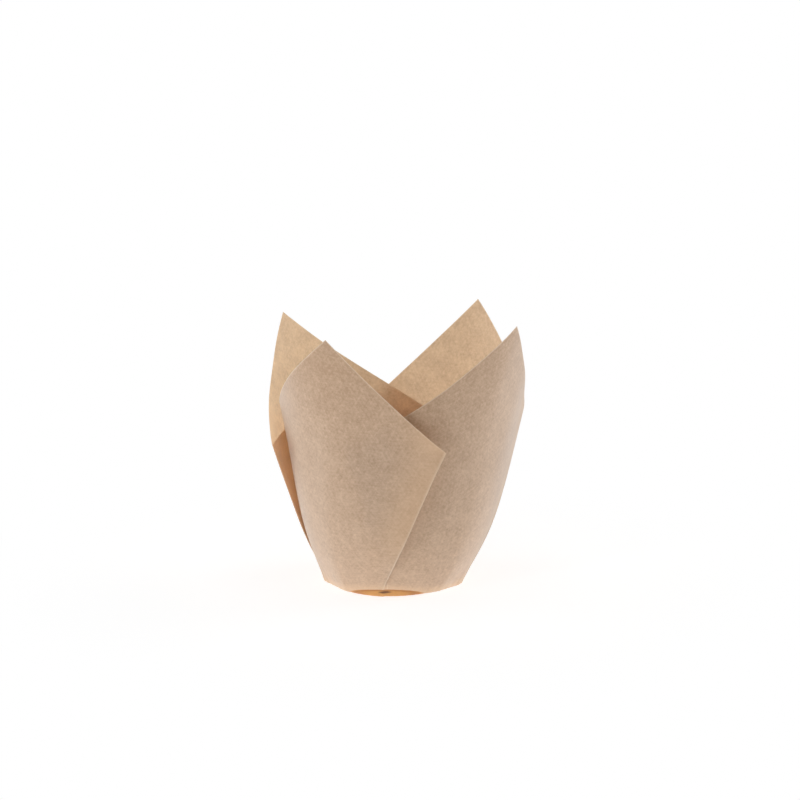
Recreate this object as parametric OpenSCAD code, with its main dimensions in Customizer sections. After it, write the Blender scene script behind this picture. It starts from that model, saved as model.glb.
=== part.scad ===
// Tulip baking liner: one square sheet of greaseproof paper, pressed over a round punch.
// The four corners of the sheet stand up as petals. The paper left over between them is laid
// in four pleats, each an outer layer, a middle layer that runs back, and an inner layer.
// The origin is the middle of the base, on the surface that it stands on. The front is -Y.

/* [Sheet] */
// Side of the square sheet before it is pressed
sheet_side = 175; // [160:1:185]
// Thickness of the paper, drawn thicker than the real 0.06 so that it is a solid wall
paper_t = 0.15; // [0.1:0.05:0.25]
// How far the sheet lay off the punch's centre, to the right
sheet_off_x = 1; // [-4:0.5:4]
// How far the sheet lay off the punch's centre, to the back
sheet_off_y = -3.5; // [-4:0.5:4]

/* [Cup] */
// Diameter of the round base
base_d = 49; // [44:1:60]
// Radius of the pressed edge between the base and the wall
base_edge_r = 1.5; // [1:0.5:5]
// Lean of the wall from upright, in degrees
wall_angle = 8.6; // [7:0.1:14]
// How much wider the wall gets above the base than its lean alone gives
heel_out = 7.5; // [4:0.5:10]
// Length of wall over which it gets that much wider
heel_length = 18.5; // [14:0.5:26]
// How far the tips of the petals curl outward
petal_flare = 3.5; // [0:0.5:7]

/* [Pleats] */
// Turn of the pleats around the base, against the middles of the sheet's sides, in degrees
pleat_turn = 7; // [4:0.5:11]
// Place of a pleat's outer fold on the sheet's side, from its middle
outer_fold = 30; // [24:0.5:38]
// Place of a pleat's inner fold on the sheet's side, from its middle
inner_fold = 11.5; // [8:0.5:20]
// Space between the layers of a pleat
layer_gap = 0.2; // [0.15:0.05:0.6]
// Width of a pleat's root on the base, in degrees around it
root_width = 4; // [2:0.5:8]
// Where a pleat's outer layer starts to stand off, in degrees from its petal's axis
flap_start = 19; // [15:1:35]
// How much rounder than flat the outer layer stays, from 0 for flat to 1 for the wall's own round
flap_round = 0.6; // [0.4:0.05:0.8]
// Height at which the outer layer has come fully free
flap_free_h = 65; // [40:5:80]

/* [Facets] */
// Longest facet across a petal
petal_facet = 11; // [8:1:14]
// Longest facet across a pleat's middle layer
pleat_facet = 9; // [7:0.5:12]

/* [Hidden] */
PLEATS = 4;
QUARTER = 360 / PLEATS;
WALL_RINGS = 18;    // from the base to the edge of the sheet
EDGE_RINGS = 2;     // round the pressed edge of the base
RING_EASE = 1.5;    // above 1 sets the rings closer near the base
ROOT_TUCK = 0.18;   // how far in from each fold the middle layer starts at the root, as a share
FOLD_TUCK = 0.01;   // the same where the pleat lies flat
RAMP = [0.4, 0.58]; // share of a panel over which it climbs from inner to outer layer
FOLD_OPEN = 2;      // degrees of overlap over which a pleat's layers come to lie flat
EDGE_TURN = 40;     // how far the pressed edge turns from the base's plane before the wall
FLARE_FROM = 50;    // length of wall below which no petal curls
FLARE_OVER = 50;    // length of wall over which a petal curls by petal_flare
LEAST_MITRE = 0.4;  // keeps the paper's thickness in bounds at a tight fold
base_r = base_d / 2;
half_side = sheet_side / 2;
pitch = paper_t + layer_gap;
left_spans = ceil((half_side - inner_fold) / petal_facet);    // from an inner fold to a petal's tip
right_spans = ceil((half_side - outer_fold) / petal_facet);   // from a petal's tip to the outer fold
middle_spans = ceil((outer_fold + inner_fold) / pleat_facet); // across a pleat's middle layer
panel_spans = left_spans + right_spans;
columns_per_pleat = panel_spans + 1 + middle_spans + 1;
columns = PLEATS * columns_per_pleat;
rings = EDGE_RINGS + 1 + WALL_RINGS;
apex = (base_r + heel_out) / sin(wall_angle);
wall_start_z = paper_t / 2 + base_edge_r * (1 - cos(EDGE_TURN));
disc_r = base_r - base_edge_r * sin(EDGE_TURN);

function mix(a, b, s) = a + (b - a) * s;
function ease(x) = let(c = max(0, min(1, x))) c * c * (3 - 2 * c);
function unit(v) = v / max(norm(v), 1e-9);
function around(r, azimuth, z) = [r * sin(azimuth), -r * cos(azimuth), z];

// Radius of the wall at a length up its slope. The heel widens evenly at first and then levels off
function wall_r(s) = base_r + heel_out * (1 - 2 / (exp(2 * s / heel_length) + 1))
    + s * sin(wall_angle) + petal_flare * pow(max(s - FLARE_FROM, 0) / FLARE_OVER, 2);

// Azimuths of pleat k's root and of panel k's axis, panel k lying left of pleat k
function root_azimuth(k) = QUARTER * k - pleat_turn;
function axis_azimuth(k) = root_azimuth(k) - QUARTER / 2;

// A point on side k of the flat sheet, along it from the side's middle
function side_point(k, along) = let(a = QUARTER * k)
    [sin(a), -cos(a)] * half_side + [cos(a), sin(a)] * along + [sheet_off_x, sheet_off_y];

// The flat sheet's point in panel k's frame, rolled on to the cone:
// [length up the slope, azimuth from the panel's axis]
function rolled(k, p) = let(
    a = axis_azimuth(k),
    out = p[0] * sin(a) - p[1] * cos(a) - base_r + apex,
    across = p[0] * cos(a) + p[1] * sin(a)
) [norm([out, across]) - apex, atan2(across, out) / sin(wall_angle)];

// How round the outer layer is at height z
function roundness(z) = mix(1, flap_round, ease(z / flap_free_h));

// Where the outer layer passes, r being the wall's radius there and past how far beyond flap_start
// it lies: by arc length it gives [azimuth beyond flap_start, radius], by azimuth the radius
function flap_by_length(r, past, round_) = let(
    own_r = r / round_,
    along = own_r * sin(round_ * past),
    up = r - own_r * (1 - cos(round_ * past))
) [atan2(along, up), norm([along, up])];
function flap_by_azimuth(r, past, round_) = let(
    own_r = r / round_,
    back = own_r - r
) sqrt(own_r * own_r - pow(back * sin(past), 2)) - back * cos(past);

// A panel column runs over the flat sheet from the base circle to the sheet's side.
// Its point at share t: [azimuth from the panel's axis, radius, height above the wall's start]
function panel_at(k, foot_azimuth, top, lift, t) = let(
    foot = around(base_r, foot_azimuth, 0),
    here = rolled(k, mix([foot[0], foot[1]], top, t)),
    at_foot = rolled(k, [foot[0], foot[1]]),
    fade = pow(1 - t, 2),
    s = max(here[0] - fade * at_foot[0], 0),
    turn = here[1] - fade * (at_foot[1] - (foot_azimuth - axis_azimuth(k))),
    z = s * cos(wall_angle),
    r = wall_r(s) + lift,
    flap = flap_by_length(r, max(turn - flap_start, 0), roundness(z))
) turn > flap_start ? [flap_start + flap[0], flap[1], z] : [turn, r, z];

// Column c of panel k, from its inner fold over the petal's tip to its outer fold
function panel_top(k, c) = c <= left_spans
    ? side_point(k - 1, mix(inner_fold, half_side, c / left_spans))
    : side_point(k, mix(-half_side, -outer_fold, (c - left_spans) / right_spans));
function panel_foot(k, c) = let(half_root = root_width / 2)
    mix(root_azimuth(k - 1) + half_root, root_azimuth(k) - half_root, c / panel_spans);
function panel_lift(c) = 2 * pitch * ease((c / panel_spans - RAMP[0]) / (RAMP[1] - RAMP[0]));
function panel_point(k, c, t) = let(
    p = panel_at(k, panel_foot(k, c), panel_top(k, c), panel_lift(c), t)
) [p[0] + axis_azimuth(k), p[1], p[2]];

// Column m of pleat k's middle layer, from the outer fold back to the inner one, between the other
// two layers. At the root the sheet only steps inward, and they part as the folds pass each other
function middle_point(k, m, t) = let(
    outer = panel_point(k, panel_spans, t),
    inner = panel_point(k + 1, 0, t),
    folded = ease((outer[0] - inner[0]) / FOLD_OPEN),
    tuck = mix(ROOT_TUCK, FOLD_TUCK, folded),
    s = mix(tuck, 1 - tuck, m / middle_spans),
    azimuth = mix(outer[0], inner[0], s),
    z = mix(outer[2], inner[2], s),
    wall = wall_r(z / cos(wall_angle)),
    past = max(azimuth - axis_azimuth(k) - flap_start, 0),
    over = flap_by_azimuth(wall + 2 * pitch, past, roundness(z))
) [azimuth, mix(mix(over, wall, s), mix(over - pitch, wall + pitch, s), folded), z];

// Any column of the whole liner at share t of the wall
function column_point(i, t) = let(
    k = floor(i / columns_per_pleat),
    c = i % columns_per_pleat
) c <= panel_spans ? panel_point(k, c, t) : middle_point(k, c - panel_spans - 1, t);

// The middle of the paper's thickness, ring by ring: the pressed edge first, then the wall
function mid_point(i, ring) = ring <= EDGE_RINGS
    ? let(
        foot = column_point(i, 0),
        turn = EDGE_TURN * ring / (EDGE_RINGS + 1),
        rise = ring / (EDGE_RINGS + 1)
    ) around(disc_r + base_edge_r * sin(turn) + (foot[1] - base_r) * rise, foot[0],
             paper_t / 2 + base_edge_r * (1 - cos(turn)))
    : let(p = column_point(i, pow((ring - EDGE_RINGS - 1) / WALL_RINGS, RING_EASE)))
      around(p[1], p[0], wall_start_z + p[2]);

mid = [for (ring = [0 : rings]) [for (i = [0 : columns - 1]) mid_point(i, ring)]];

// Which way the paper faces in the four-sided patch right of column i and above a ring
function patch_normal(i, ring) = let(
    j = (i + 1) % columns,
    a = mid[ring][i],
    b = mid[ring][j],
    c = mid[ring + 1][j],
    d = mid[ring + 1][i]
) unit(cross(c - a, d - b));
facing = [for (ring = [0 : rings - 1]) [for (i = [0 : columns - 1]) patch_normal(i, ring)]];

// Which way, and how far, the outside face lies from the middle, as a share of half the thickness
function outward(i, ring) = let(
    low = facing[max(ring - 1, 0)],
    high = facing[min(ring, rings - 1)],
    before = (i + columns - 1) % columns,
    left = unit(low[before] + high[before]),
    right = unit(low[i] + high[i])
) ring == 0 ? [0, 0, -1] : (left + right) / max(1 + left * right, LEAST_MITRE);

function face_points(side) = [for (ring = [0 : rings]) for (i = [0 : columns - 1])
    mid[ring][i] + outward(i, ring) * side * paper_t / 2];

// Two triangles for each patch of a face, numbered from first
function face_patches(first, flip) = [for (ring = [0 : rings - 1]) for (i = [0 : columns - 1]) let(
    j = (i + 1) % columns,
    a = first + ring * columns + i,
    b = first + ring * columns + j,
    c = b + columns,
    d = a + columns
) each flip ? [[a, b, c], [a, c, d]] : [[a, c, b], [a, d, c]]];

module liner() {
    count = (rings + 1) * columns;
    outside_centre = 2 * count;
    inside_centre = outside_centre + 1;
    rim = rings * columns;
    color([0.73, 0.63, 0.53])
    polyhedron(
        points = concat(
            face_points(1),
            face_points(-1),
            [[0, 0, 0], [0, 0, paper_t]]
        ),
        faces = concat(
            face_patches(0, false),
            face_patches(count, true),
            [for (i = [0 : columns - 1]) let(j = (i + 1) % columns) [outside_centre, i, j]],
            [for (i = [0 : columns - 1]) let(j = (i + 1) % columns) [inside_centre, count + j, count + i]],
            [for (i = [0 : columns - 1]) let(j = (i + 1) % columns, a = rim + i, b = rim + j)
                each [[a, a + count, b + count], [a, b + count, b]]]
        )
    );
}

liner();
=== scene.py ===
import math

import bpy
import numpy as np
from mathutils import Matrix, Vector


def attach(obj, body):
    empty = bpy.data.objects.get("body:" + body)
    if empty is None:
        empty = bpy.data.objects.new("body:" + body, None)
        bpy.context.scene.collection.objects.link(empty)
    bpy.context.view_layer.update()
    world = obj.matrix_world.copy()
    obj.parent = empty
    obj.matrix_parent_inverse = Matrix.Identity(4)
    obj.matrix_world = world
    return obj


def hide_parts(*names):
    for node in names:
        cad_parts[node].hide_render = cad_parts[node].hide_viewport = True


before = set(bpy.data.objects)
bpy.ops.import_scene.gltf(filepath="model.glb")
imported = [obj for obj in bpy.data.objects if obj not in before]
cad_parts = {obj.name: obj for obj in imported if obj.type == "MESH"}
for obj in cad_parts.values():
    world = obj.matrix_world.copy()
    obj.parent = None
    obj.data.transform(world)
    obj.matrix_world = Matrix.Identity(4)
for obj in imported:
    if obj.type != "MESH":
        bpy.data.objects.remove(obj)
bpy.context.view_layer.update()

bpy.context.scene.view_settings.view_transform = "Standard"

# The camera. It looks a little down on the liner from the front, from over a metre away, through a
# long lens. PHOTO_PX and MM_PX give the photograph's frame and its scale at the point looked at.
PHOTO_PX = 800
MM_PX = 2.75
LOOKED_AT = Vector((0, 0, 0.070))
LOOKED_AT_PX = (396.5, 393.2)
CAMERA_AWAY = 1.202
CAMERA_AZIMUTH = math.radians(-0.4)
CAMERA_ELEVATION = math.radians(13.4)
SENSOR = 36.0

backward = Vector((
    math.sin(CAMERA_AZIMUTH) * math.cos(CAMERA_ELEVATION),
    -math.cos(CAMERA_AZIMUTH) * math.cos(CAMERA_ELEVATION),
    math.sin(CAMERA_ELEVATION),
))
rightward = Vector((math.cos(CAMERA_AZIMUTH), math.sin(CAMERA_AZIMUTH), 0))
upward = backward.cross(rightward)
camera_data = bpy.data.cameras.new("camera")
camera_data.sensor_width = SENSOR
camera_data.lens = MM_PX * CAMERA_AWAY * 1000 * SENSOR / PHOTO_PX
camera_data.shift_x = 0.5 - LOOKED_AT_PX[0] / PHOTO_PX
camera_data.shift_y = LOOKED_AT_PX[1] / PHOTO_PX - 0.5
camera_data.clip_start = 0.05
camera = bpy.data.objects.new("camera", camera_data)
bpy.context.scene.collection.objects.link(camera)
camera.matrix_world = Matrix.Translation(LOOKED_AT + backward * CAMERA_AWAY) @ Matrix(
    (rightward, upward, backward)
).transposed().to_4x4()
bpy.context.scene.camera = camera

# The liner. One square of brown greaseproof paper, pressed over a round punch into a hot mould: the
# middle becomes the base, the corners stand up as petals, and the spare paper between them is laid
# in four pleats of three layers. Nothing holds it but its own creases.
SHEET_SIDE = 0.175
SHEET_OFF = np.array([0.001, -0.0035])
PAPER_LEVEL = 0.00008

# The base and its pressed edge, which bulges under the front pleat and has three crisp corners.
BASE_R = 0.0245
BASE_SHIFT = -0.0015
SHIFT_FADE = 0.012
EDGE_REACH = 0.0013
EDGE_TURN = math.radians(40)
EDGE_STEP = 0.0005
BULGE_LIFT = 0.0024
BULGE_AZIMUTH = math.radians(-6)
BULGE_WIDTH = math.radians(37)
LIFT_FADE = 0.016
CORNERS = ((-80, 0.0010), (70, 0.0014), (173, 0.0008))
CORNER_WIDTH = math.radians(9)
CORNER_FADE = 0.006
SIDE_IN = 0.0003
TUCK_DEPTH = 0.0006
TUCK_FADE = 0.0035
TUCK_COUNT = 47
TUCKS_PAST_ROOT = math.radians(6)
TUCKS_WIDTH = math.radians(17)

# The wall: a cone with a rounded heel, and petals that flare.
WALL_ANGLE = math.radians(8.6)
HEEL_OUT = 0.0075
HEEL_LENGTH = 0.0185
PETAL_FLARE = 0.0035
FLARE_FROM = 0.050
FLARE_OVER = 0.050
LOOSE_OVER = 0.060
WAVES = ((0.0003, 2, 3.9, -18), (0.00025, 3, 2.3, 31), (0.00016, 7, 2.2, 57), (0.0001, 11, 0, -95))

# The pleats: where their roots and folds are, how their layers lie, and how the flaps stand off.
PLEATS = 4
PLEAT_TURN = math.radians(7)
OUTER_FOLD = 0.030
INNER_FOLD = 0.0115
LAYER_PITCH = 0.0003
ROOT_WIDTH = math.radians(4)
ROOT_TUCK = 0.18
FOLD_TUCK = 0.004
FOLD_OPEN = math.radians(2)
RAMP = (0.4, 0.58)
FLAP_START = math.radians(19)
FLAP_ROUND = 0.6
FLAP_FREE_H = 0.065
SPRING = (0.0022, 0.0006, 0.0007, 0.0001)
SPRING_WIDTH = math.radians(13)
SPRING_OVER = 0.025

# The paper's finish is laid out on the flat sheet, in millimetres: cloudy where the fibres lie thick
# or thin, with a fine grain and short fibres lying all ways. Light and shade are also painted into its
# colour: a painted highlight on its cut edges and creases, a warmer painted glow beside the folds,
# painted light low on the wall with a painted highlight along its foot, painted shade towards the petal
# tips, a painted orange glow with a darker painted band on the rim under the front pleat, and painted
# shade in the tucks beside the pleats' roots. Part of the light goes through, most at the back, so a
# single layer glows and a double one turns orange.
# Painted glow: how far from each outer fold the flap is painted warmer, as if lit through.
FOLD_GLOW_WIDTH = math.radians(26)
# Painted highlight: how high up the wall's foot the pale band is painted.
FOOT_HIGHLIGHT_MM = 4
# Painted shade: how wide the dark tucks beside the pleats' roots are painted.
TUCK_SHADE_WIDTH = math.radians(6)
PAPER_DARK = (0.472, 0.303, 0.188, 1)
PAPER_PALE = (0.75, 0.555, 0.398, 1)
# Painted highlight on the cut edges and creases.
CUT_AND_CREASE_HIGHLIGHT = (0.80, 0.66, 0.52, 1)
# Painted glow beside the folds.
FOLD_GLOW_PAINT = (0.80, 0.52, 0.30, 1)
# Painted highlight along the wall's foot.
FOOT_HIGHLIGHT_PAINT = (0.92, 0.68, 0.46, 1)
# Painted orange glow on the rim under the front pleat.
RIM_GLOW_PAINT = (0.80, 0.39, 0.09, 1)
# Painted shade: a darker band inside that rim.
RIM_SHADE_PAINT = (0.50, 0.18, 0.04, 1)
# Painted shade in the tucks.
TUCK_SHADE_PAINT = (0.14, 0.05, 0.02, 1)
TONE = 0.42
# Painted light, lighter low on the wall, and painted shade, darker towards the petal tips.
FOOT_LIGHT_PAINT = 0.22
TIP_SHADE_PAINT = 0.28
CLOUD_SCALE = 0.16
GRAIN_SCALE = 0.85
FIBRE_MM = (2.8, 0.75, 1)
FIBRE_LIES = (math.radians(15), math.radians(75), math.radians(135))
RELIEF = 0.00015
GLOW = (0.95, 0.68, 0.42, 1)
GLOW_SHARE = 0.05
BACK_GLOW = 0.22
BACK_LEFT_GLOW = 0.13

# How finely the mesh is divided.
LEFT_SPANS = 44
RIGHT_SPANS = 36
MIDDLE_SPANS = 24
WALL_RINGS = 84
EDGE_RINGS = 5
RING_EASE = 1.4
DISC_RINGS = (0.99, 0.94, 0.84, 0.68, 0.46, 0.22)
SHARP_FROM = math.radians(14)

HALF_SIDE = SHEET_SIDE / 2
QUARTER = 2 * math.pi / PLEATS
PANEL_SPANS = LEFT_SPANS + RIGHT_SPANS
APEX = (BASE_R + HEEL_OUT) / math.sin(WALL_ANGLE)


def mix(a, b, share):
    return a + (b - a) * share


def ease(x):
    clipped = np.clip(x, 0, 1)
    return clipped * clipped * (3 - 2 * clipped)


def direction(azimuth):
    """The way out from the middle at an azimuth, which is 0 at the front and grows to the right."""
    return np.stack([np.sin(azimuth), -np.cos(azimuth)], axis=-1)


def wall_radius(slope):
    curl = np.maximum(slope - FLARE_FROM, 0) / FLARE_OVER
    heel = HEEL_OUT * np.tanh(slope / HEEL_LENGTH)
    return BASE_R + heel + slope * math.sin(WALL_ANGLE) + PETAL_FLARE * curl ** 2


def root_azimuth(pleat):
    return QUARTER * pleat - PLEAT_TURN


def axis_azimuth(panel):
    return root_azimuth(panel) - QUARTER / 2


def side_point(side, along):
    """A point on a side of the flat sheet, along it from the side's middle."""
    across = direction(QUARTER * side + math.pi / 2)
    return direction(QUARTER * side) * HALF_SIDE + across * along + SHEET_OFF


def rolled(panel, flat):
    """Flat points rolled on to the cup's cone: length up the slope, and azimuth from the panel's axis."""
    out = flat @ direction(axis_azimuth(panel)) - BASE_R + APEX
    across = flat @ direction(axis_azimuth(panel) + math.pi / 2)
    return np.hypot(out, across) - APEX, np.arctan2(across, out) / math.sin(WALL_ANGLE)


def roundness(height):
    """How round a flap's free part is. It is as round as the wall at its foot and flatter higher up."""
    return mix(1, FLAP_ROUND, ease(height / FLAP_FREE_H))


def panel_column(panel, foot_azimuth, top, lift, share):
    """Where one straight line of the flat sheet goes, from the base circle to the sheet's side."""
    foot = direction(foot_azimuth) * BASE_R
    flat = foot + np.outer(share, top - foot)
    slope, turn = rolled(panel, flat)
    foot_slope, foot_turn = rolled(panel, foot)
    fade = (1 - share) ** 2
    slope = np.maximum(slope - fade * foot_slope, 0)
    turn = turn - fade * (foot_turn - (foot_azimuth - axis_azimuth(panel)))
    height = slope * math.cos(WALL_ANGLE)
    radius = wall_radius(slope) + lift
    past = np.maximum(turn - FLAP_START, 0)
    own_radius = radius / roundness(height)
    along = own_radius * np.sin(roundness(height) * past)
    up = radius - own_radius * (1 - np.cos(roundness(height) * past))
    free = past > 0
    turn = np.where(free, FLAP_START + np.arctan2(along, up), turn)
    return turn + axis_azimuth(panel), np.where(free, np.hypot(along, up), radius), height, flat


def middle_column(pleat, number, outer, inner):
    """A line of the layer that runs back under the flap, between the outer and inner layers' folds."""
    folded = ease((outer[0] - inner[0]) / FOLD_OPEN)
    tuck = mix(ROOT_TUCK, FOLD_TUCK, folded)
    share = mix(tuck, 1 - tuck, number / MIDDLE_SPANS)
    azimuth, height = (mix(outer[i], inner[i], share) for i in (0, 2))
    wall = wall_radius(height / math.cos(WALL_ANGLE))
    past = np.maximum(azimuth - axis_azimuth(pleat) - FLAP_START, 0)
    own_radius = (wall + 2 * LAYER_PITCH) / roundness(height)
    back = own_radius - wall - 2 * LAYER_PITCH
    over = np.sqrt(own_radius ** 2 - (back * np.sin(past)) ** 2) - back * np.cos(past)
    at_root = mix(over, wall, share)
    above_root = mix(over - LAYER_PITCH, wall + LAYER_PITCH, share)
    return azimuth, mix(at_root, above_root, folded), height, mix(outer[3], inner[3], share[:, None])


def near_fold(column, fold, width):
    """1 at the outer fold, and 0 where the column is a width or more before it."""
    return ease(1 - (np.interp(column[2], fold[2], fold[0]) - column[0]) / width)


def sprung(column, fold, spring):
    """The same column, standing off a little near the outer fold, which springs back up when pressed."""
    azimuth, radius, height, flat = column
    near = near_fold(column, fold, SPRING_WIDTH) * ease(height / SPRING_OVER)
    return azimuth, radius + spring * near, height, flat


def nose_column(first, second):
    """The bend of a fold, between the last line of one layer and the first of the next."""
    azimuth, radius, height = (mix(first[i], second[i], 0.5) for i in range(3))
    bend = np.abs(first[1] - second[1]) / 2 / radius
    side = np.sign(first[1] - second[1])
    folded = ease((np.abs(first[1] - second[1]) - LAYER_PITCH / 2) / LAYER_PITCH * 2)
    return azimuth + bend * side * folded, radius, height, mix(first[3], second[3], 0.5)


def apart(azimuth, other):
    """How far an azimuth is past another, from minus half a turn to half a turn."""
    return (azimuth - other + math.pi) % (2 * math.pi) - math.pi


def near_root(azimuth, width):
    """1 at a pleat's root, where the gathered layers stand stiff, and 0 away from it."""
    return sum(np.exp(-(apart(azimuth, root_azimuth(k)) / width) ** 2) for k in range(PLEATS))


def unevenness(azimuth, height):
    """How far the paper stands out or in, alike in every layer, because no hand-pressed cup is true."""
    loose = ease(height / LOOSE_OVER)
    waves = sum(out * np.sin(around * azimuth + phase + up * height) for out, around, phase, up in WAVES)
    corner = SIDE_IN * np.cos(PLEATS * (azimuth - root_azimuth(0)))
    for corner_azimuth, out in CORNERS:
        corner = corner + out * np.exp(-(apart(azimuth, math.radians(corner_azimuth)) / CORNER_WIDTH) ** 2)
    return waves * loose + corner * np.exp(-height / CORNER_FADE)


def bulging(azimuth):
    """1 where the base bulges out under the front pleat and carries the wall's foot up, 0 away from it."""
    return np.maximum(1 - (apart(azimuth, BULGE_AZIMUTH) / BULGE_WIDTH) ** 2, 0)


def tucks(azimuth, height):
    """Small tucks in the pressed edge, deepest beside the pleats' roots, that die out up the wall."""
    fold = (0.5 + 0.5 * np.cos(TUCK_COUNT * azimuth + 1.5 * np.sin(5 * azimuth))) ** 3
    share = (0.2 + near_root(azimuth - TUCKS_PAST_ROOT, TUCKS_WIDTH)) * (1 - 0.85 * bulging(azimuth))
    return -TUCK_DEPTH * share * fold * np.exp(-height / TUCK_FADE)


wall_share = (np.arange(WALL_RINGS + 1) / WALL_RINGS) ** RING_EASE
columns = []
creases = []
fold_glow_columns = []
for pleat in range(PLEATS):
    feet = np.linspace(
        root_azimuth(pleat - 1) + ROOT_WIDTH / 2, root_azimuth(pleat) - ROOT_WIDTH / 2, PANEL_SPANS + 1
    )
    left_tops = [
        side_point(pleat - 1, mix(INNER_FOLD, HALF_SIDE, c / LEFT_SPANS)) for c in range(LEFT_SPANS)
    ]
    right_tops = [
        side_point(pleat, mix(-HALF_SIDE, -OUTER_FOLD, c / RIGHT_SPANS)) for c in range(RIGHT_SPANS + 1)
    ]
    climb = ease((np.arange(PANEL_SPANS + 1) / PANEL_SPANS - RAMP[0]) / (RAMP[1] - RAMP[0]))
    panel = [
        panel_column(pleat, foot, top, 2 * LAYER_PITCH * lift, wall_share)
        for foot, top, lift in zip(feet, left_tops + right_tops, climb)
    ]
    next_foot = root_azimuth(pleat) + ROOT_WIDTH / 2
    outer = panel[-1]
    inner = panel_column(pleat + 1, next_foot, side_point(pleat, INNER_FOLD), 0, wall_share)
    middle = [middle_column(pleat, number, outer, inner) for number in range(MIDDLE_SPANS + 1)]
    panel = panel[:LEFT_SPANS] + [sprung(column, outer, SPRING[pleat]) for column in panel[LEFT_SPANS:]]
    middle = [sprung(column, outer, SPRING[pleat]) for column in middle]
    outer = panel[-1]
    strip = panel + [nose_column(outer, middle[0])] + middle + [nose_column(middle[-1], inner)]
    columns += strip
    creases += [1] + [0] * (len(panel) - 2) + [1, 1, 1] + [0] * (len(middle) - 2) + [1, 1]
    # The flap's columns near each outer fold get the painted glow.
    painted_fold_glow = [near_fold(column, outer, FOLD_GLOW_WIDTH) for column in panel + [outer]]
    fold_glow_columns += painted_fold_glow + [np.zeros(WALL_RINGS + 1)] * (len(strip) - len(painted_fold_glow))

azimuth, radius, height = (np.array([c[i] for c in columns]).T for i in range(3))
flat = np.array([c[3] for c in columns]).transpose(1, 0, 2)
radius = radius + unevenness(azimuth, height) + tucks(azimuth, height)
stand = PAPER_LEVEL + EDGE_STEP + BULGE_LIFT * bulging(azimuth) * np.exp(-height / LIFT_FADE)
wall = np.dstack([direction(azimuth) * radius[..., None], stand + height])

foot_azimuth = azimuth[0]
disc_radius = radius[0] - EDGE_REACH
edge_share = (np.arange(EDGE_RINGS) / EDGE_RINGS)[:, None]
edge_radius = mix(disc_radius, radius[0], np.sin(EDGE_TURN * edge_share) / math.sin(EDGE_TURN))
edge_rise = (1 - np.cos(EDGE_TURN * edge_share)) / (1 - math.cos(EDGE_TURN))
edge_height = mix(PAPER_LEVEL, stand[0], edge_rise)
edge_flat = direction(foot_azimuth)[None] * edge_radius[..., None]
edge = np.dstack([edge_flat, edge_height])
disc_share = np.array(DISC_RINGS[::-1])[:, None]
disc_flat = direction(foot_azimuth)[None] * (disc_radius * disc_share)[..., None]
disc = np.dstack([disc_flat, np.full(disc_flat.shape[:2], PAPER_LEVEL)])
rings = np.concatenate([disc, edge, wall])
rings[..., 0] += BASE_SHIFT * np.exp(-rings[..., 2] / SHIFT_FADE)
rings_flat = np.concatenate([disc_flat, edge_flat, flat])

ring_count, column_count = rings.shape[:2]
points = np.vstack([rings.reshape(-1, 3), [[BASE_SHIFT, 0, PAPER_LEVEL]]])
flat_points = np.vstack([rings_flat.reshape(-1, 2), [[0, 0]]])
centre = len(points) - 1
faces = []
for column in range(column_count):
    following = (column + 1) % column_count
    faces.append((centre, column, following))
    for ring in range(ring_count - 1):
        low, high = ring * column_count, (ring + 1) * column_count
        faces.append((low + column, low + following, high + following, high + column))

paper_mesh = bpy.data.meshes.new("liner_paper")
paper_mesh.from_pydata(points.tolist(), [], faces)
paper_mesh.shade_smooth()
paper_mesh.set_sharp_from_angle(angle=SHARP_FROM)
flat_uv = paper_mesh.uv_layers.new(name="flat_sheet")
corner_vertices = np.array([loop.vertex_index for loop in paper_mesh.loops])
corner_uv = (flat_points[corner_vertices] - SHEET_OFF) / SHEET_SIDE + 0.5
flat_uv.data.foreach_set("uv", corner_uv.ravel())

first_wall_ring = len(DISC_RINGS) + EDGE_RINGS
MARKS = ("crease", "bulge", "tuck", "height_mm", "painted_fold_glow")
marks = {name: np.zeros((ring_count, column_count)) for name in MARKS}
# Where the painted highlight goes: the fold lines, and the crease at the wall's foot.
marks["crease"][first_wall_ring:] = creases
marks["crease"][first_wall_ring] = 0.9
# Where the painted orange glow and its darker painted band go: the base's edge under the front pleat.
marks["bulge"][len(DISC_RINGS):first_wall_ring] = bulging(foot_azimuth)
marks["bulge"][first_wall_ring] = 0.5 * bulging(foot_azimuth)
# Where the painted shade of the tucks goes, beside the pleats' roots.
marks["tuck"][first_wall_ring - 1] = near_root(foot_azimuth, TUCK_SHADE_WIDTH)
# The base is given the foot band's top height, so the painted highlight stays on the wall.
marks["height_mm"][:first_wall_ring] = FOOT_HIGHLIGHT_MM
marks["height_mm"][first_wall_ring:] = height * 1000
# The painted glow's share beside the outer folds.
marks["painted_fold_glow"][first_wall_ring:] = np.array(fold_glow_columns).T
for name, grid in marks.items():
    mark = paper_mesh.attributes.new(name, "FLOAT", "POINT")
    mark.data.foreach_set("value", np.append(grid.ravel(), 0))
liner = bpy.data.objects.new("liner_paper", paper_mesh)
bpy.context.scene.collection.objects.link(liner)


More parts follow.
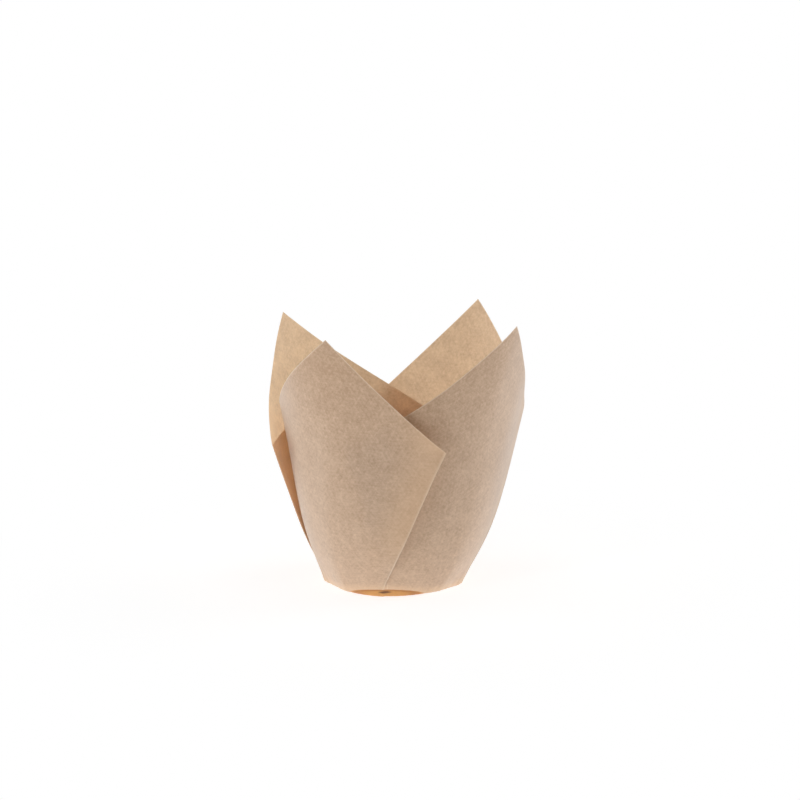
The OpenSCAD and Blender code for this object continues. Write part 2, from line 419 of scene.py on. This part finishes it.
class Value:
    """A socket whose arithmetic adds Math nodes beside it."""

    def __init__(self, socket):
        self.socket = socket

    def calculate(self, operation, *operands):
        node = self.socket.id_data.nodes.new("ShaderNodeMath")
        node.operation = operation
        for slot, operand in zip(node.inputs, operands):
            connect(slot, operand)
        return Value(node.outputs[0])

    def __add__(self, other):
        return self.calculate("ADD", self, other)

    def __radd__(self, other):
        return self.calculate("ADD", other, self)

    def __sub__(self, other):
        return self.calculate("SUBTRACT", self, other)

    def __rsub__(self, other):
        return self.calculate("SUBTRACT", other, self)

    def __mul__(self, other):
        return self.calculate("MULTIPLY", self, other)

    def __rmul__(self, other):
        return self.calculate("MULTIPLY", other, self)

    def __truediv__(self, other):
        return self.calculate("DIVIDE", self, other)

    def __rtruediv__(self, other):
        return self.calculate("DIVIDE", other, self)

    def lesser(self, other):
        return self.calculate("MINIMUM", self, other)

    def greater(self, other):
        return self.calculate("MAXIMUM", self, other)

    def rise(self, start, end):
        """0 below start, 1 above end, and a smooth rise between."""
        share = ((self - start) / (end - start)).greater(0).lesser(1)
        return share * share * (3 - 2 * share)

    def spread(self, strength):
        """A noise's swing to both sides of its middle, times a strength."""
        return (self - 0.5) * strength


def connect(slot, value):
    if isinstance(value, Value):
        slot.id_data.links.new(value.socket, slot)
    else:
        slot.default_value = value


class Finish:
    """The nodes of a material or of the sky, and the one method by which they are added."""

    def __init__(self, owner):
        owner.use_nodes = True
        self.tree = owner.node_tree
        self.tree.nodes.clear()

    def node(self, kind, settings=None, sockets=None):
        """Add a node: first its settings, then its sockets' values or links. Gives its outputs by name."""
        node = self.tree.nodes.new("ShaderNode" + kind)
        for setting, choice in (settings or {}).items():
            setattr(node, setting, choice)
        slots = {slot.identifier: slot for slot in node.inputs}
        for name, value in (sockets or {}).items():
            connect(slots[name], value)
        return {output.identifier: Value(output) for output in node.outputs}

    def blend(self, share, first, second):
        return self.node(
            "Mix", {"data_type": "RGBA"}, {"Factor_Float": share, "A_Color": first, "B_Color": second}
        )["Result_Color"]

    def noise(self, place, scale, detail, roughness):
        return self.node(
            "TexNoise", sockets={"Vector": place, "Scale": scale, "Detail": detail, "Roughness": roughness}
        )["Fac"]


paper = bpy.data.materials.new("greaseproof_paper")
nodes = Finish(paper)
crease, bulge, tuck, height_mm, painted_fold_glow = (
    nodes.node("Attribute", {"attribute_name": name})["Fac"] for name in MARKS
)
on_sheet = nodes.node("UVMap", {"uv_map": "flat_sheet"})["UV"]
in_mm = nodes.node(
    "VectorMath", {"operation": "SCALE"}, {"Vector": on_sheet, "Scale": SHEET_SIDE * 1000}
)["Vector"]
clouds = nodes.noise(in_mm, CLOUD_SCALE, 3, 0.55)
grain = nodes.noise(in_mm, GRAIN_SCALE, 4, 0.66)
fibres = []
for lie in FIBRE_LIES:
    along = nodes.node(
        "Mapping", {"vector_type": "TEXTURE"}, {"Vector": in_mm, "Rotation": (0, 0, lie), "Scale": FIBRE_MM}
    )["Vector"]
    fibres.append(nodes.noise(along, 1, 3, 0.6))
# Painted light and shade in the tone: lighter low on the wall, darker towards the petal tips.
painted_foot_light_tip_shade = FOOT_LIGHT_PAINT * (1 - height_mm.rise(0, 75)) - TIP_SHADE_PAINT * height_mm.rise(55, 95)
mottle = clouds.spread(0.65) + grain.spread(0.85) + sum(fibre.spread(0.8) for fibre in fibres)
colour = nodes.blend(TONE + painted_foot_light_tip_shade + mottle, PAPER_DARK, PAPER_PALE)

split = nodes.node("SeparateXYZ", sockets={"Vector": on_sheet})
from_side = split["X"].lesser(1 - split["X"]).lesser(split["Y"].lesser(1 - split["Y"]))
cut = 1 - (from_side * (SHEET_SIDE * 1000)).rise(0.1, 0.5)
for share, tint in (
    # Painted highlight along the cut edges and creases.
    ((0.55 * cut).greater(0.8 * crease.rise(0.3, 0.9)), CUT_AND_CREASE_HIGHLIGHT),
    # Painted glow on the flap beside each outer fold.
    (0.45 * painted_fold_glow * height_mm.rise(4, 30), FOLD_GLOW_PAINT),
    # Painted highlight along the wall's foot.
    (0.6 * (1 - height_mm.rise(0, FOOT_HIGHLIGHT_MM)), FOOT_HIGHLIGHT_PAINT),
    # Painted orange glow on the rim.
    (0.85 * bulge.rise(0.04, 0.35), RIM_GLOW_PAINT),
    # Painted shade: a darker band inside the rim's painted glow.
    (0.7 * bulge.rise(0.15, 0.4) * (1 - bulge.rise(0.55, 0.9)), RIM_SHADE_PAINT),
    # Painted shade in the tucks.
    (0.9 * tuck.rise(0.25, 0.75), TUCK_SHADE_PAINT),
):
    colour = nodes.blend(share, colour, tint)

bump = nodes.node("Bump", sockets={
    "Height": 0.4 * grain + 0.2 * sum(fibres),
    "Strength": 0.25,
    "Distance": RELIEF,
})["Normal"]
front_light = nodes.node("BsdfPrincipled", sockets={
    "Base Color": colour,
    "Roughness": 0.62,
    "Specular IOR Level": 0.35,
    "Sheen Weight": 0.75,
    "Sheen Roughness": 0.47,
    "Normal": bump,
})["BSDF"]
through_light = nodes.node("BsdfTranslucent", sockets={"Color": GLOW, "Normal": bump})["BSDF"]
back = split["Y"].rise(0.35, 0.6)
back_left = (1 - split["X"].rise(0.1, 0.3)) * split["Y"].rise(0.35, 0.55)
formation = 1 + clouds.spread(0.8) + grain.spread(1.2)
thin = (GLOW_SHARE + BACK_GLOW * back + BACK_LEFT_GLOW * back_left) * formation
glowing = nodes.node("MixShader", sockets={"Fac": thin, "Shader": front_light, "Shader_001": through_light})
nodes.node("OutputMaterial", sockets={"Surface": glowing["Shader"]})
liner.data.materials.append(paper)
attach(liner, "root")
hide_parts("liner")

# The studio. A pale matt floor that glows as a light table does, so that the liner's foot is as bright
# as its top. The camera sees it nearly white, with the liner's faint shadow. The sky is dim but for a
# bright patch low behind, on the left, that shines through the flaps. A broad lamp hangs overhead, one
# stands at each side, and a small one at the front left.
FLOOR_SIDE = 6.0
FLOOR_COLOUR = (0.86, 0.86, 0.86, 1)
FLOOR_WHITEN = 0.5
FLOOR_GLOW = 0.58
WHITE = (1, 1, 1, 1)
SKY_LOW = 0.1
BACKDROP = 3.0
LAMPS = (
    ("top", 4, 0.9, (0, -0.1, 1.35)),
    ("key", 2.3, 0.2, (-0.85, -0.85, 0.4)),
    ("left", 2.9, 0.6, (-1.2, 0.15, 0.25)),
    ("right", 7.2, 0.6, (1.15, 0.4, 0.25)),
)

floor_mesh = bpy.data.meshes.new("floor")
far = FLOOR_SIDE / 2
floor_mesh.from_pydata([(-far, -far, 0), (far, -far, 0), (far, far, 0), (-far, far, 0)], [], [(0, 1, 2, 3)])
floor = bpy.data.objects.new("floor", floor_mesh)
bpy.context.scene.collection.objects.link(floor)
matt = bpy.data.materials.new("floor")
nodes = Finish(matt)
lit = nodes.node("BsdfPrincipled", sockets={
    "Base Color": FLOOR_COLOUR,
    "Roughness": 0.9,
    "Emission Color": WHITE,
    "Emission Strength": FLOOR_GLOW,
})["BSDF"]
white = nodes.node("Emission", sockets={"Color": WHITE, "Strength": 1})["Emission"]
position = nodes.node("NewGeometry")["Position"]
from_liner = nodes.node("VectorMath", {"operation": "LENGTH"}, {"Vector": position})["Value"]
whiten = FLOOR_WHITEN + (1 - FLOOR_WHITEN) * from_liner.rise(0.04, 0.16)
seen = nodes.node("LightPath")["Is Camera Ray"] * whiten
floor_shader = nodes.node("MixShader", sockets={"Fac": seen, "Shader": lit, "Shader_001": white})
nodes.node("OutputMaterial", sockets={"Surface": floor_shader["Shader"]})
floor.data.materials.append(matt)

sky = bpy.data.worlds.new("sky")
bpy.context.scene.world = sky
nodes = Finish(sky)
path = nodes.node("LightPath")
shown = path["Is Camera Ray"].greater(path["Is Glossy Ray"]).greater(path["Is Transmission Ray"])
way = nodes.node("SeparateXYZ", sockets={"Vector": nodes.node("TexCoord")["Generated"]})
behind = (0.85 * way["Y"] - 0.5 * way["X"]).rise(0.3, 0.8) * (1 - way["Z"].rise(0.1, 0.35))
low = 1 - way["Z"].rise(0.1, 0.7)
glow = SKY_LOW * low + (BACKDROP - SKY_LOW) * behind
background = nodes.node("Background", sockets={"Color": WHITE, "Strength": glow + (1 - glow) * shown})
nodes.node("OutputWorld", sockets={"Surface": background["Background"]})

for name, power, side, place in LAMPS:
    softbox = bpy.data.lights.new(name, "AREA")
    softbox.energy = power
    softbox.size = side
    softbox_object = bpy.data.objects.new(name, softbox)
    bpy.context.scene.collection.objects.link(softbox_object)
    softbox_object.location = place
    away = Vector(place) - LOOKED_AT
    softbox_object.rotation_euler = away.to_track_quat("Z", "Y").to_euler()
